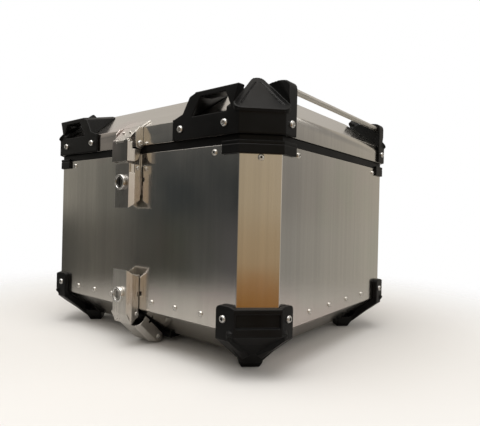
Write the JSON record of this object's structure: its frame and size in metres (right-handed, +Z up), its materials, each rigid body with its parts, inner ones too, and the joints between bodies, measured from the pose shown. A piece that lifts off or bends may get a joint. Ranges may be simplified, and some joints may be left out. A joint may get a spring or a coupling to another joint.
{
  "type": "motorcycle top case",
  "caption": "Hard aluminium motorcycle top case with black corner guards, a hinged lid, loop handles, side rails and two keyed latches.",
  "frame": {"origin": "on the ground in the middle between the four feet", "axes": "+X to the right along the latch face, +Y from the latch face to the hinges, +Z up"},
  "size_m": [0.4484, 0.3901, 0.3401],
  "materials": {
    "aluminium": "fine brushed",
    "latch_steel": "satin",
    "rail": "satin",
    "chrome": "polished",
    "screw": "satin",
    "guard": "semi-matte moulded",
    "trim": "matte",
    "rubber": "matte"
  },
  "bodies": {
    "case": {"body_shell": "aluminium", "bottom_pan": "aluminium", "rim_trim": "trim", "wall_stay_anchor": "latch_steel", "upper_base_plate": "latch_steel", "upper_lever_pin": "latch_steel", "lower_base_plate": "latch_steel", "lower_lever_pin": "latch_steel", "rack_block": "guard", "rack_arm_pin": "latch_steel", "hinge_right_body_leaf": "latch_steel", "hinge_left_body_leaf": "latch_steel", "hinge_right_pin": "latch_steel", "hinge_left_pin": "latch_steel", "wall_block_front_right": "guard", "wall_block_front_left": "guard", "wall_block_rear_right": "guard", "wall_block_rear_left": "guard", "foot_guard_front_right": "guard", "foot_guard_front_left": "guard", "foot_guard_rear_right": "guard", "foot_guard_rear_left": "guard"},
    "lid": {"lid_shell": "aluminium", "lid_seal": "rubber", "lid_stay_anchor": "latch_steel", "upper_lid_bracket": "latch_steel", "upper_bracket_bolt": "screw", "upper_hood_pin": "latch_steel", "hinge_right_lid_leaf": "latch_steel", "hinge_left_lid_leaf": "latch_steel", "side_rail_right": "rail", "side_rail_left": "rail", "lid_guard_front_right": "guard", "lid_guard_front_left": "guard", "lid_guard_rear_right": "guard", "lid_guard_rear_left": "guard", "lid_screw_front_right_inner": "screw", "lid_screw_front_right_outer": "screw", "lid_screw_front_right_side": "screw", "lid_screw_front_left_inner": "screw", "lid_screw_front_left_outer": "screw", "lid_screw_front_left_side": "screw", "lid_screw_rear_right_inner": "screw", "lid_screw_rear_right_outer": "screw", "lid_screw_rear_right_side": "screw", "lid_screw_rear_left_inner": "screw", "lid_screw_rear_left_outer": "screw", "lid_screw_rear_left_side": "screw"},
    "hood": {"upper_hood": "latch_steel"},
    "upper_lever": {"upper_lever": "latch_steel", "upper_lock_barrel": "chrome"},
    "upper_lock": {"upper_lock_plug": "chrome", "upper_lock_cam": "latch_steel"},
    "lower_lever": {"lower_lever": "latch_steel", "lower_lock_barrel": "chrome"},
    "lower_lock": {"lower_lock_plug": "chrome", "lower_lock_cam": "latch_steel"},
    "rack_arm": {"rack_arm": "latch_steel"}
  },
  "joints": [
    {"name": "lid_hinge", "type": "hinge", "parent": "case", "child": "lid", "pos_m": [0, 0.1857, 0.266], "axis": [-1, 0, 0], "range_deg": [0, 95]},
    {"name": "upper_hood_hinge", "type": "hinge", "parent": "lid", "child": "hood", "pos_m": [0, -0.1965, 0.2705], "axis": [-1, 0, 0], "range_deg": [0, 100]},
    {"name": "upper_lever_hinge", "type": "hinge", "parent": "case", "child": "upper_lever", "pos_m": [0, -0.1845, 0.236], "axis": [-1, 0, 0], "range_deg": [0, 50]},
    {"name": "upper_lock_turn", "type": "hinge", "parent": "upper_lever", "child": "upper_lock", "pos_m": [0, -0.196, 0.2178], "axis": [0, -1, 0], "range_deg": [0, 90]},
    {"name": "lower_lever_hinge", "type": "hinge", "parent": "case", "child": "lower_lever", "pos_m": [0, -0.1814, 0.0462], "axis": [1, 0, 0], "range_deg": [0, 70]},
    {"name": "rack_arm_hinge", "type": "hinge", "parent": "case", "child": "rack_arm", "pos_m": [0, -0.1437, 0.0092], "axis": [1, 0, 0], "range_deg": [0, 28]},
    {"name": "lower_lock_turn", "type": "hinge", "parent": "lower_lever", "child": "lower_lock", "pos_m": [0, -0.196, 0.0717], "axis": [0, -1, 0], "range_deg": [0, 90]}
  ],
  "couplings": [
    {"joint": "rack_arm_hinge", "follows": "lower_lever_hinge", "ratio": 0.4}
  ]
}
